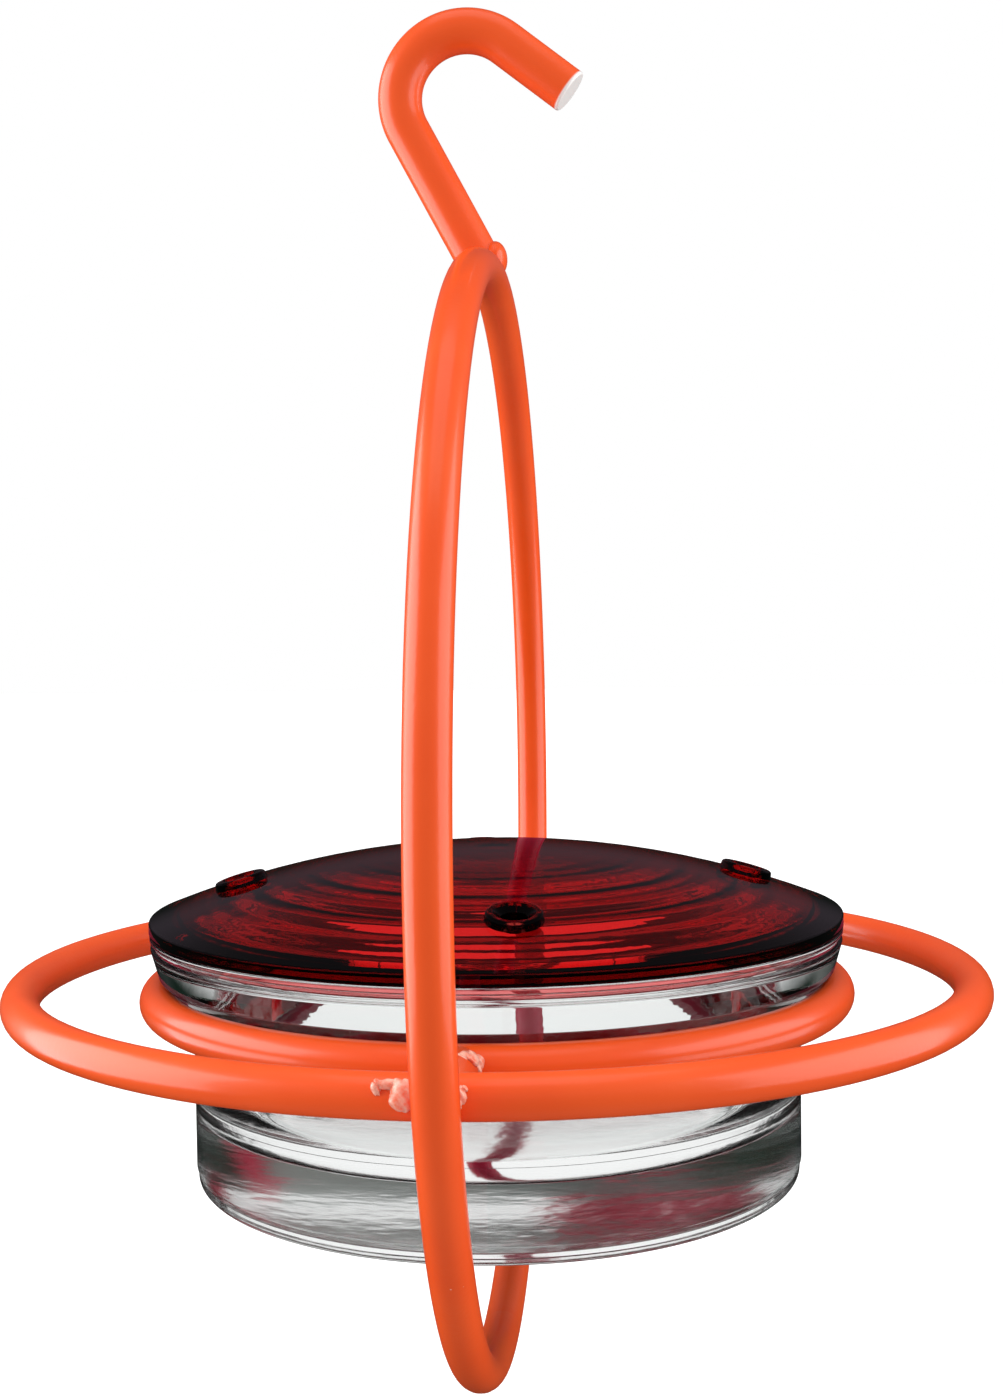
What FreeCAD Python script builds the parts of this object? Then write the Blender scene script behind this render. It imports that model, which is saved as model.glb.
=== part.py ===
import FreeCAD, Part
import math
import os

import Sketcher
from FreeCAD import Rotation, Vector

# Hanging feeder for hummingbirds, in millimetres. A round-rod frame carries a pressed-glass
# dish by its flange, and a red glass lid with four feeding ports lies on the dish.
# The origin is the point inside the hook's bend where the feeder hangs, +Z is up, the hoop
# stands in the YZ plane and the hook in the XZ plane, with its tip towards +X.

sizes = {
    # round rod of the frame
    "rod": 6.35,
    "hook_rod": 7.5,
    "spoke_rod": 6.0,
    "weld_sink": 0.3,
    "perch_reach": 22.3,
    "hoop_rise": 28.9,
    "flange_ledge": 1.3,
    "dish_ring_drop": 1.5,
    # hook, from its foot on the hoop to its tip
    "hook_lean": 28.0,
    "hook_leg": 25.0,
    "hook_bend_radius": 11.2,
    "hook_tip_drop": 38.0,
    "hook_tip": 13.9,
    "tip_round": 0.4,
    # weld beads, as they stand proud of the rods
    "bead_half_length": 5.5,
    "bead_offset": 1.5,
    "bead_depth": 2.2,
    "bead_height": 3.2,
    "corner_bead": 2.1,
    "corner_bead_lift": 0.4,
    "foot_bead_width": 2.0,
    "foot_bead_height": 3.0,
    "foot_bead_offset": 1.4,
    # glass dish
    "flange_radius": 59.0,
    "flange_height": 6.91,
    "rim_band": 1.0,
    "groove_width": 0.9,
    "groove_depth": 0.6,
    "band_foot_inset": 1.4,
    "seat_width": 7.1,
    "rim_wall": 4.0,
    "ledge_depth": 3.0,
    "ledge_round": 0.6,
    "dish_depth": 42.7,
    "foot_height": 3.5,
    "foot_inset": 0.6,
    "base_recess": 1.0,
    "base_rim": 6.0,
    "dish_wall": 3.9,
    "wall_draft": 1.0,
    "floor_thickness": 12.9,
    "floor_round": 8.0,
    "base_round": 2.2,
    "soft_edge": 0.35,
    # glass lid
    "lid_edge": 2.0,
    "lid_overhang": 0.1,
    "dome_height": 11.1,
    "lid_wall": 3.5,
    "rib_gap": 0.5,
    "rib_depth": 2.5,
    "rib_width": 1.5,
    "lid_turn": 8.8,
    # feeding ports, in a ring between the lid's rib and its top
    "port_count": 4,
    "port_radius": 2.1,
    "port_to_rib": 7.3,
    "funnel_flare": 1.2,
    "funnel_depth": 1.2,
    "boss_wall": 1.05,
    "boss_height": 1.4,
    "boss_round": 0.6,
    "boss_inner_round": 0.25,
    "boss_draft": 0.5,
}

# what follows from those sizes; levels are heights over the perch ring's plane
worked_out = {
    # the dish's flange sets the ring that carries it, and that ring sets the perch ring
    "dish_ring_radius": "Sizes.flange_radius - Sizes.flange_ledge",
    "perch_radius": "Worked.dish_ring_radius + Sizes.perch_reach",
    "hoop_reach": "hypot(Worked.perch_radius; Sizes.hoop_rise)",
    "hoop_radius": "Worked.hoop_reach + Sizes.rod - Sizes.weld_sink",
    "hoop_top": "Sizes.hoop_rise + Worked.hoop_radius",
    "foot_level": "Worked.hoop_top + Sizes.rod / 2 - Sizes.weld_sink",
    "trim_span": "6 * Sizes.hook_rod",
    "leg_run": "Sizes.hook_leg + (Worked.foot_level - Worked.hoop_top) / cos(Sizes.hook_lean)",
    "leg_end_x": "-Worked.leg_run * sin(Sizes.hook_lean)",
    "leg_end_z": "Worked.hoop_top + Worked.leg_run * cos(Sizes.hook_lean)",
    "bend_x": "Worked.leg_end_x + Sizes.hook_bend_radius * cos(Sizes.hook_lean)",
    "bend_z": "Worked.leg_end_z + Sizes.hook_bend_radius * sin(Sizes.hook_lean)",
    "arc_end_x": "Worked.bend_x + Sizes.hook_bend_radius * sin(Sizes.hook_tip_drop)",
    "arc_end_z": "Worked.bend_z + Sizes.hook_bend_radius * cos(Sizes.hook_tip_drop)",
    "tip_x": "Worked.arc_end_x + Sizes.hook_tip * cos(Sizes.hook_tip_drop)",
    "tip_z": "Worked.arc_end_z - Sizes.hook_tip * sin(Sizes.hook_tip_drop)",
    # the hanging point is the origin, so the frame is set off from it by these
    "axis_x": "-Worked.bend_x",
    "perch_level": "-(Worked.bend_z + Sizes.hook_bend_radius - Sizes.hook_rod / 2)",
    # spokes run from rod centre to rod centre, a little uphill
    "spoke_length": "hypot(Sizes.perch_reach; Sizes.dish_ring_drop)",
    "spoke_slope": "atan2(Sizes.dish_ring_drop; Sizes.perch_reach) / 1 deg",
    # the dish's conical seat touches the dish ring: on it, radius less level is this
    "seat": "Worked.dish_ring_radius + Sizes.dish_ring_drop - sqrt(2) * Sizes.rod / 2",
    "band_foot_radius": "Sizes.flange_radius - Sizes.band_foot_inset",
    "band_foot_level": "Worked.band_foot_radius - Worked.seat",
    "rim_level": "Worked.band_foot_level + Sizes.flange_height",
    "groove_top": "Worked.rim_level - Sizes.rim_band",
    "groove_bottom": "Worked.groove_top - Sizes.groove_width",
    "groove_radius": "Sizes.flange_radius - Sizes.groove_depth",
    "body_radius": "Sizes.flange_radius - Sizes.seat_width",
    # the dish's inside widens to a ledge a little below the rim, which leaves room for the lid's rib
    "mouth_radius": "Sizes.flange_radius - Sizes.rim_wall",
    "ledge_level": "Worked.rim_level - Sizes.ledge_depth",
    "bowl_radius": "Worked.body_radius - Sizes.dish_wall",
    "floor_radius": "Worked.bowl_radius - Sizes.wall_draft",
    "foot_radius": "Worked.body_radius - Sizes.foot_inset",
    "base_level": "Worked.rim_level - Sizes.dish_depth",
    "foot_line_level": "Worked.base_level + Sizes.foot_height",
    "floor_level": "Worked.base_level + Sizes.floor_thickness",
    # the lid's dome is part of a sphere about a point on the axis
    "lid_radius": "Sizes.flange_radius + Sizes.lid_overhang",
    "dome_foot": "Worked.rim_level + Sizes.lid_edge",
    "dome_sphere": "(pow(Worked.lid_radius; 2) / Sizes.dome_height + Sizes.dome_height) / 2",
    "dome_top": "Worked.dome_foot + Sizes.dome_height",
    "dome_centre": "Worked.dome_top - Worked.dome_sphere",
    "rib_foot": "Worked.rim_level - Sizes.rib_depth",
    "rib_outer": "Worked.mouth_radius - Sizes.rib_gap",
    "rib_inner": "Worked.rib_outer - Sizes.rib_width",
    "inner_sphere": "Worked.dome_sphere - Sizes.lid_wall",
    "inner_foot": "Worked.dome_centre + sqrt(pow(Worked.inner_sphere; 2) - pow(Worked.rib_inner; 2))",
    # a port and its boss stand square to the dome, so their axis runs through its centre
    "port_circle": "Worked.rib_inner - Sizes.port_to_rib - Sizes.port_radius",
    "port_sine": "Worked.port_circle / Worked.dome_sphere",
    "port_cosine": "sqrt(1 - pow(Worked.port_sine; 2))",
    "funnel_radius": "Sizes.port_radius + Sizes.funnel_flare",
    "funnel_foot": "Sizes.boss_height - Sizes.funnel_depth",
    "cutter_top": "Sizes.boss_height + Sizes.funnel_depth",
    "boss_radius": "Worked.funnel_radius + Sizes.boss_wall",
    "boss_reach": "Worked.dome_sphere + Sizes.boss_height",
    "boss_foot": "Worked.boss_radius + Sizes.boss_draft",
}

doc = FreeCAD.newDocument("hummingbird_feeder")


def make_sheet():
    sheet = doc.addObject("Spreadsheet::Sheet", "Sizes")
    for row, (name, value) in enumerate(sizes.items(), 1):
        sheet.set(f"A{row}", name)
        sheet.set(f"B{row}", str(value))
        sheet.setAlias(f"B{row}", name)
    doc.recompute()
    worked = doc.addObject("App::VarSet", "Worked")
    for name, formula in worked_out.items():
        worked.addProperty("App::PropertyFloat", name)
        worked.setExpression(name, formula)
    doc.recompute()
    return worked


worked = make_sheet()


def set_frame(thing, x="0", y="0", level="0"):
    # places a thing by its distances from the feeder's axis and from the perch ring's plane
    thing.setExpression("Placement.Base.x", f"Worked.axis_x + {x}")
    thing.setExpression("Placement.Base.y", y)
    thing.setExpression("Placement.Base.z", f"Worked.perch_level + {level}")


def ring(name, radius, level="0"):
    bar = doc.addObject("Part::Torus", name)
    bar.setExpression("Radius1", radius)
    bar.setExpression("Radius2", "Sizes.rod / 2")
    set_frame(bar, level=level)
    return bar


def cut(name, base, *tools):
    # takes each tool away from the base; the last cut carries the name
    for number, tool in enumerate(tools, 1):
        step = doc.addObject("Part::Cut", name if number == len(tools) else f"{name}_{number}")
        step.Base = base
        step.Tool = tool
        base = step
    return base


def xz_plane(body):
    return [one for one in body.Origin.OriginFeatures if one.Role == "XZ_Plane"][0]


def new_sketch(body, name):
    sketch = body.newObject("Sketcher::SketchObject", name)
    sketch.AttachmentSupport = (xz_plane(body), [""])
    sketch.MapMode = "FlatFace"
    return sketch


def fix_point(sketch, geometry, end, x, z):
    # ties one end of a line or arc to its two distances from the sketch's axes
    for axis, kind, formula in ((-2, "DistanceX", x), (-1, "DistanceY", z)):
        if formula == "0":
            sketch.addConstraint(Sketcher.Constraint("PointOnObject", geometry, end, axis))
            continue
        value = float(sketch.evalExpression(formula))
        number = sketch.addConstraint(Sketcher.Constraint(kind, -1, 1, geometry, end, value))
        sketch.setExpression(f"Constraints[{number}]", formula)


def outline(body, name, corners, arcs=()):
    # a closed outline through the corners, each given by two formulas; the stretches that
    # start at a corner listed in arcs are round, about a centre on the sketch's upright axis
    sketch = new_sketch(body, name)
    spots = [Vector(*(float(sketch.evalExpression(formula)) for formula in corner), 0)
             for corner in corners]
    ends = []
    for number, start in enumerate(spots):
        stop = spots[(number + 1) % len(spots)]
        if number in arcs:
            middle = (stop.x ** 2 + stop.y ** 2 - start.x ** 2 - start.y ** 2) / (stop.y - start.y) / 2
            centre = Vector(0, middle, 0)
            angles = [math.atan2(spot.y - middle, spot.x) for spot in (start, stop)]
            circle = Part.Circle(centre, Vector(0, 0, 1), (start - centre).Length)
            index = sketch.addGeometry(Part.ArcOfCircle(circle, min(angles), max(angles)), False)
            sketch.addConstraint(Sketcher.Constraint("PointOnObject", index, 3, -2))
            ends.append((index, 1, 2) if angles[0] < angles[1] else (index, 2, 1))
        else:
            index = sketch.addGeometry(Part.LineSegment(start, stop), False)
            ends.append((index, 1, 2))
    for number, (index, first, last) in enumerate(ends):
        before = ends[number - 1]
        sketch.addConstraint(Sketcher.Constraint("Coincident", before[0], before[2], index, first))
        fix_point(sketch, index, first, *corners[number])
    return sketch


def add_axis(sketch, start, stop):
    # a construction line between two points, each given by two formulas
    spots = [Vector(*(float(sketch.evalExpression(formula)) for formula in spot), 0)
             for spot in (start, stop)]
    index = sketch.addGeometry(Part.LineSegment(*spots), True)
    fix_point(sketch, index, 1, *start)
    fix_point(sketch, index, 2, *stop)


def turn(body, kind, name, sketch, axis="V_Axis"):
    feature = body.newObject(f"PartDesign::{kind}", name)
    feature.Profile = sketch
    feature.ReferenceAxis = (sketch, [axis])
    feature.Angle = 360
    doc.recompute()
    return feature


def round_edges(shape, radius, fits):
    # names of the circular edges with this radius whose centre fits
    found = []
    for number, edge in enumerate(shape.Edges, 1):
        if edge.Degenerated or not isinstance(edge.Curve, Part.Circle):
            continue
        if abs(edge.Curve.Radius - radius) < 1e-4 and fits(edge.Curve.Center):
            found.append(f"Edge{number}")
    return found


def circles(shape, radius, level):
    # the circles at this height
    return round_edges(shape, radius, lambda centre: abs(centre.z - level) < 1e-4)


def port_circles(shape, radius, reach):
    # the circles round the ports, at this distance from the centre of the dome's sphere
    sphere = Vector(0, 0, size("dome_centre"))
    return round_edges(shape, radius, lambda centre: abs((centre - sphere).Length - reach) < 1e-4)


def round_off(body, name, base, radius, edges):
    feature = body.newObject("PartDesign::Fillet", name)
    feature.Base = (base, edges)
    feature.setExpression("Radius", radius)
    doc.recompute()
    return feature


def size(name):
    return sizes[name] if name in sizes else getattr(worked, name)


# Frame

def make_hook_bar():
    # rod bent once: a leaning leg, a bend round the hanging point, and a straight tip
    body = doc.addObject("PartDesign::Body", "HookBar")
    path = new_sketch(body, "HookPath")
    foot = Vector(0, size("hoop_top"), 0)
    leg_end = Vector(size("leg_end_x"), size("leg_end_z"), 0)
    bend = Vector(size("bend_x"), size("bend_z"), 0)
    arc_end = Vector(size("arc_end_x"), size("arc_end_z"), 0)
    tip = Vector(size("tip_x"), size("tip_z"), 0)
    start_angle = math.radians(90 - size("hook_tip_drop"))
    end_angle = math.radians(180 + size("hook_lean"))
    circle = Part.Circle(bend, Vector(0, 0, 1), size("hook_bend_radius"))
    leg = path.addGeometry(Part.LineSegment(foot, leg_end), False)
    arc = path.addGeometry(Part.ArcOfCircle(circle, start_angle, end_angle), False)
    point = path.addGeometry(Part.LineSegment(arc_end, tip), False)
    path.addConstraint(Sketcher.Constraint("Coincident", leg, 2, arc, 2))
    path.addConstraint(Sketcher.Constraint("Coincident", arc, 1, point, 1))
    fix_point(path, leg, 1, "0", "Worked.hoop_top")
    fix_point(path, leg, 2, "Worked.leg_end_x", "Worked.leg_end_z")
    number = path.addConstraint(Sketcher.Constraint("Radius", arc, size("hook_bend_radius")))
    path.setExpression(f"Constraints[{number}]", "Sizes.hook_bend_radius")
    fix_point(path, point, 1, "Worked.arc_end_x", "Worked.arc_end_z")
    fix_point(path, point, 2, "Worked.tip_x", "Worked.tip_z")
    doc.recompute()
    section = body.newObject("Sketcher::SketchObject", "HookSection")
    section.AttachmentSupport = (path, ["Edge1"])
    section.MapMode = "NormalToEdge"
    disc = section.addGeometry(Part.Circle(Vector(0, 0, 0), Vector(0, 0, 1), size("hook_rod") / 2), False)
    section.addConstraint(Sketcher.Constraint("Coincident", disc, 3, -1, 1))
    number = section.addConstraint(Sketcher.Constraint("Diameter", disc, size("hook_rod")))
    section.setExpression(f"Constraints[{number}]", "Sizes.hook_rod")
    doc.recompute()
    pipe = body.newObject("PartDesign::AdditivePipe", "HookRod")
    pipe.Profile = section
    pipe.Spine = path
    doc.recompute()
    ends = [f"Edge{number}" for number, edge in enumerate(pipe.Shape.Edges, 1)
            if isinstance(edge.Curve, Part.Circle)
            and (edge.Curve.Center - Vector(tip.x, 0, tip.y)).Length < 1e-3]
    round_off(body, "TipRound", pipe, "Sizes.tip_round", ends)
    set_frame(body)
    return body


def make_foot_trim():
    # everything under the level at which the hook's foot is sawn off
    block = doc.addObject("Part::Box", "FootTrim")
    block.setExpression("Length", "Worked.trim_span")
    block.setExpression("Width", "Worked.trim_span")
    block.setExpression("Height", "Worked.trim_span")
    set_frame(block, "(-Worked.trim_span / 2)", "(-Worked.trim_span / 2)",
              "Worked.foot_level - Worked.trim_span")
    return block


def make_spoke(name, side, perch, dish_ring):
    # a short rod whose two ends are coped round the rings that it joins
    bar = doc.addObject("Part::Cylinder", f"{name}_bar")
    bar.setExpression("Radius", "Sizes.spoke_rod / 2")
    bar.setExpression("Height", "Worked.spoke_length")
    bar.Placement.Rotation = Rotation(Vector(-side, 0, 0), 90 - size("spoke_slope"))
    bar.setExpression("Placement.Rotation.Angle", "90 - Worked.spoke_slope")
    set_frame(bar, y=f"{side} * Worked.dish_ring_radius", level="(-Sizes.dish_ring_drop)")
    return cut(name, bar, perch, dish_ring)


def bead(name, radii, place, *rods):
    # a lump of weld metal, given by its half width, depth and height, that fills the corner
    # between the rods it is cut by
    lump = doc.addObject("Part::Ellipsoid", f"{name}_lump")
    lump.setExpression("Radius2", radii[0])
    lump.setExpression("Radius3", radii[1])
    lump.setExpression("Radius1", radii[2])
    set_frame(lump, *place)
    return cut(name, lump, *rods)


def corner_beads(name, y, level, *rods):
    # one round bead in the corner at either side of a spoke, where it meets a ring
    lumps = []
    for side, word in ((-1, "left"), (1, "right")):
        lump = doc.addObject("Part::Sphere", f"{name}_{word}")
        lump.setExpression("Radius", "Sizes.corner_bead")
        set_frame(lump, f"{side} * Sizes.spoke_rod / 2", y, f"{level} + Sizes.corner_bead_lift")
        lumps.append(lump)
    both = doc.addObject("Part::Compound", f"{name}_lumps")
    both.Links = lumps
    return cut(name, both, *rods)


def make_frame():
    perch = ring("perch_ring", "Worked.perch_radius")
    dish_ring = ring("dish_ring", "Worked.dish_ring_radius", "(-Sizes.dish_ring_drop)")
    hoop_bar = ring("HoopBar", "Worked.hoop_radius", "Sizes.hoop_rise")
    hoop_bar.Placement.Rotation = Rotation(Vector(0, 1, 0), 90)
    hoop = cut("hoop", hoop_bar, perch)
    hook = cut("hook", make_hook_bar(), make_foot_trim(), hoop_bar)
    pieces = [hoop, hook, perch, dish_ring]
    foot_radii = ("Sizes.foot_bead_width", "Sizes.hook_rod / 2", "Sizes.foot_bead_height")
    foot_place = ("Sizes.foot_bead_offset", "0", "Worked.foot_level")
    pieces.append(bead("hook_weld", foot_radii, foot_place, hook, hoop))
    for side, word in ((-1, "front"), (1, "back")):
        spoke = make_spoke(f"spoke_{word}", side, perch, dish_ring)
        pieces.append(spoke)
        # the hoop's rod crosses the perch ring's on the outside, a little below its middle
        crossing = (f"{side} * Sizes.bead_offset",
                    f"{side} * Worked.perch_radius * (1 + Sizes.rod / 2 / Worked.hoop_reach)",
                    "(-Sizes.hoop_rise * Sizes.rod / 2 / Worked.hoop_reach)")
        radii = ("Sizes.bead_half_length", "Sizes.bead_depth", "Sizes.bead_height")
        pieces.append(bead(f"hoop_weld_{word}", radii, crossing, hoop, perch))
        outer = f"{side} * (Worked.perch_radius - Sizes.rod / 2)"
        pieces.append(corner_beads(f"perch_weld_{word}", outer, "0", perch, spoke))
        inner = f"{side} * (Worked.dish_ring_radius + Sizes.rod / 2)"
        drop = "(-Sizes.dish_ring_drop)"
        pieces.append(corner_beads(f"ring_weld_{word}", inner, drop, dish_ring, spoke))
    return pieces


# Glass

def make_dish():
    # dish with a heavy floor; its grooved flange has a ledge inside and a conical seat below
    body = doc.addObject("PartDesign::Body", "dish")
    corners = [
        ("0", "Worked.floor_level"),
        ("Worked.floor_radius", "Worked.floor_level"),
        ("Worked.bowl_radius", "Worked.ledge_level"),
        ("Worked.mouth_radius", "Worked.ledge_level"),
        ("Worked.mouth_radius", "Worked.rim_level"),
        ("Sizes.flange_radius", "Worked.rim_level"),
        ("Sizes.flange_radius", "Worked.groove_top"),
        ("Worked.groove_radius", "Worked.groove_top"),
        ("Worked.groove_radius", "Worked.groove_bottom"),
        ("Sizes.flange_radius", "Worked.groove_bottom"),
        ("Worked.band_foot_radius", "Worked.band_foot_level"),
        ("Worked.body_radius", "Worked.body_radius - Worked.seat"),
        ("Worked.body_radius", "Worked.foot_line_level"),
        ("Worked.foot_radius", "Worked.foot_line_level"),
        ("Worked.foot_radius", "Worked.base_level"),
        ("Worked.foot_radius - Sizes.base_rim", "Worked.base_level"),
        ("Worked.foot_radius - Sizes.base_rim", "Worked.base_level + Sizes.base_recess"),
        ("0", "Worked.base_level + Sizes.base_recess"),
    ]
    blank = turn(body, "Revolution", "DishBlank", outline(body, "DishOutline", corners))
    edges = circles(blank.Shape, size("floor_radius"), size("floor_level"))
    floor = round_off(body, "FloorRound", blank, "Sizes.floor_round", edges)
    edges = circles(floor.Shape, size("bowl_radius"), size("ledge_level"))
    edges += circles(floor.Shape, size("mouth_radius"), size("ledge_level"))
    ledge = round_off(body, "LedgeRounds", floor, "Sizes.ledge_round", edges)
    edges = circles(ledge.Shape, size("foot_radius"), size("base_level"))
    base = round_off(body, "BaseRound", ledge, "Sizes.base_round", edges)
    soft = [("mouth_radius", "rim_level"), ("flange_radius", "rim_level"),
            ("flange_radius", "groove_top"), ("flange_radius", "groove_bottom"),
            ("body_radius", "foot_line_level")]
    edges = [edge for radius, level in soft for edge in circles(base.Shape, size(radius), size(level))]
    edges += circles(base.Shape, size("band_foot_radius"), size("band_foot_level"))
    round_off(body, "SoftEdges", base, "Sizes.soft_edge", edges)
    set_frame(body)
    return body


def port_point(reach, rise):
    # a point of a sketch by its distance from the port's axis and its height over the dome
    along = f"(Worked.dome_sphere + {rise})"
    return (f"{along} * Worked.port_sine + {reach} * Worked.port_cosine",
            f"Worked.dome_centre + {along} * Worked.port_cosine - {reach} * Worked.port_sine")


def make_lid():
    # shallow dome with a thick rim; a rib under it keeps it centred in the dish's mouth
    body = doc.addObject("PartDesign::Body", "lid")
    corners = [
        ("0", "Worked.dome_top"),
        ("Worked.lid_radius", "Worked.dome_foot"),
        ("Worked.lid_radius", "Worked.rim_level"),
        ("Worked.rib_outer", "Worked.rim_level"),
        ("Worked.rib_outer", "Worked.rib_foot"),
        ("Worked.rib_inner", "Worked.rib_foot"),
        ("Worked.rib_inner", "Worked.inner_foot"),
        ("0", "Worked.dome_top - Sizes.lid_wall"),
    ]
    turn(body, "Revolution", "LidBlank", outline(body, "LidOutline", corners, arcs=(0, 6)))
    port_axis = (port_point("0", "(-Worked.dome_sphere)"), port_point("0", "Sizes.boss_height"))
    boss_corners = [
        port_point("0", "(-Sizes.lid_wall / 2)"),
        port_point("Worked.boss_foot", "(-Sizes.lid_wall / 2)"),
        port_point("Worked.boss_radius", "Sizes.boss_height"),
        port_point("0", "Sizes.boss_height"),
    ]
    boss_outline = outline(body, "BossOutline", boss_corners)
    add_axis(boss_outline, *port_axis)
    boss = turn(body, "Revolution", "Boss", boss_outline, "Axis0")
    hole_corners = [
        port_point("0", "(-2 * Sizes.lid_wall)"),
        port_point("Sizes.port_radius", "(-2 * Sizes.lid_wall)"),
        port_point("Sizes.port_radius", "Worked.funnel_foot"),
        port_point("Worked.funnel_radius", "Sizes.boss_height"),
        port_point("Worked.funnel_radius", "Worked.cutter_top"),
        port_point("0", "Worked.cutter_top"),
    ]
    hole_outline = outline(body, "PortOutline", hole_corners)
    add_axis(hole_outline, *port_axis)
    hole = turn(body, "Groove", "Port", hole_outline, "Axis0")
    ports = body.newObject("PartDesign::PolarPattern", "Ports")
    ports.Originals = [boss, hole]
    ports.Axis = (body.Group[0], ["V_Axis"])
    ports.Angle = 360
    ports.setExpression("Occurrences", "Sizes.port_count")
    body.Tip = ports
    doc.recompute()
    edges = port_circles(ports.Shape, size("boss_radius"), size("boss_reach"))
    bosses = round_off(body, "BossRounds", ports, "Sizes.boss_round", edges)
    edges = port_circles(bosses.Shape, size("funnel_radius"), size("boss_reach"))
    mouths = round_off(body, "BossMouths", bosses, "Sizes.boss_inner_round", edges)
    soft = [("lid_radius", "dome_foot"), ("lid_radius", "rim_level")]
    edges = [edge for radius, level in soft for edge in circles(mouths.Shape, size(radius), size(level))]
    round_off(body, "LidEdges", mouths, "Sizes.soft_edge", edges)
    set_frame(body)
    body.Placement.Rotation = Rotation(Vector(0, 0, 1), size("lid_turn"))
    body.setExpression("Placement.Rotation.Angle", "Sizes.lid_turn")
    return body


def check(pieces):
    doc.recompute()
    for thing in doc.Objects:
        if "Invalid" in thing.State or "Error" in thing.State:
            raise RuntimeError(f"{thing.Name} failed: {thing.State}")
    for piece in pieces:
        if piece.Shape.isNull() or not piece.Shape.isValid():
            raise RuntimeError(f"{piece.Label} has no valid shape")


def main():
    pieces = make_frame() + [make_dish(), make_lid()]
    check(pieces)
    os.makedirs("parts", exist_ok=True)
    for piece in pieces:
        piece.Shape.exportStep(f"parts/{piece.Label}.step")
        box = piece.Shape.BoundBox
        print(f"{piece.Label}: {len(piece.Shape.Solids)} solid, {piece.Shape.Volume:.1f} mm3,",
              f"z {box.ZMin:.2f} to {box.ZMax:.2f}")


main()
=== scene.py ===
import math

import bpy
import numpy as np
from mathutils import Matrix, Vector


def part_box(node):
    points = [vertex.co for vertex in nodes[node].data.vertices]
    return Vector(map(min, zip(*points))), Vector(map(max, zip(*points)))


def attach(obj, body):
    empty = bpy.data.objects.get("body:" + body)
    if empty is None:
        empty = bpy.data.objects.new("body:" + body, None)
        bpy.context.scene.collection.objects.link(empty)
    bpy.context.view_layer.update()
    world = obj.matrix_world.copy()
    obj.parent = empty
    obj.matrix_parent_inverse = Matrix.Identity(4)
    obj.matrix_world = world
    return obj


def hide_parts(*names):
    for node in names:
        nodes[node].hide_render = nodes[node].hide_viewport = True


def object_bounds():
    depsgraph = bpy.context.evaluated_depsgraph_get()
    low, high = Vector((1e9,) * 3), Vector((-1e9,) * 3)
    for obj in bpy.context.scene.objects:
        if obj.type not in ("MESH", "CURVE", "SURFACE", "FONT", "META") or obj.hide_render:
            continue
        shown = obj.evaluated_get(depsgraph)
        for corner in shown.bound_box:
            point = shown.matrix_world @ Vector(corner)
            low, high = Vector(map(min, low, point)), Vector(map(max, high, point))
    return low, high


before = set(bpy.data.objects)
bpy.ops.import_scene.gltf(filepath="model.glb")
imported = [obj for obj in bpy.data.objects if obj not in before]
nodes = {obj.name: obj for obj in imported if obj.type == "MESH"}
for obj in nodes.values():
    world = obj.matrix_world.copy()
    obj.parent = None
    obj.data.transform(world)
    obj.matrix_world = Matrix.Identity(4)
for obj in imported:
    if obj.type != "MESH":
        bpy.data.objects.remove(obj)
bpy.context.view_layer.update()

# Dresses a hanging hummingbird feeder: a painted rod frame, a pressed clear glass dish and a red glass lid.
# Lengths are in metres, in the CAD model's own frame, apart from the tables of the weld marks and the dish,
# which are in millimetres. Node texture scales are in features to the metre.

millimetre = 0.001
glassNodes = ("dish", "lid")
rodNodes = [name for name in nodes if name not in glassNodes]   # the rods and the weld beads
feederAxisX = (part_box("dish")[0].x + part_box("dish")[1].x) / 2   # the dish is round about this upright line


# helpers for node trees

def newNode(tree, kind, at, **values):
    node = tree.nodes.new(kind)
    node.location = at
    for name, value in values.items():
        setattr(node, name, value)
    return node


def connect(tree, source, target):
    tree.links.new(source, target)


def newNoise(tree, at, vector, settings):
    noise = newNode(tree, "ShaderNodeTexNoise", at)
    connect(tree, vector, noise.inputs["Vector"])
    for name, value in settings.items():
        noise.inputs[name].default_value = value
    return noise


def rampBetween(tree, value, start, stop, at, top=1.0):
    # 0 where the value is at start, top where it is at stop, with a soft turn at both
    ramp = newNode(tree, "ShaderNodeMapRange", at, interpolation_type="SMOOTHSTEP")
    ramp.inputs["From Min"].default_value = start
    ramp.inputs["From Max"].default_value = stop
    ramp.inputs["To Max"].default_value = top
    connect(tree, value, ramp.inputs["Value"])
    return ramp.outputs[0]


def valueRange(tree, value, low, high, at):
    # low where the value is 0, high where it is 1
    ranged = newNode(tree, "ShaderNodeMapRange", at)
    ranged.inputs["To Min"].default_value = low
    ranged.inputs["To Max"].default_value = high
    connect(tree, value, ranged.inputs["Value"])
    return ranged.outputs[0]


def multiply(tree, first, second, at):
    product = newNode(tree, "ShaderNodeMath", at, operation="MULTIPLY")
    connect(tree, first, product.inputs[0])
    connect(tree, second, product.inputs[1])
    return product.outputs[0]


def addShare(tree, value, share, base, at):
    # base + value times share
    total = newNode(tree, "ShaderNodeMath", at, operation="MULTIPLY_ADD")
    connect(tree, value, total.inputs[0])
    total.inputs[1].default_value = share
    connect(tree, base, total.inputs[2])
    return total.outputs[0]


def mixColours(tree, factor, first, second, at):
    # first where the factor is 0, second where it is 1; either may be a colour or a socket
    mix = newNode(tree, "ShaderNodeMix", at, data_type="RGBA")
    connect(tree, factor, mix.inputs["Factor"])
    for socket, colour in ((mix.inputs[6], first), (mix.inputs[7], second)):
        if isinstance(colour, tuple):
            socket.default_value = (*colour, 1.0)
        else:
            connect(tree, colour, socket)
    return mix.outputs[2]


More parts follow.
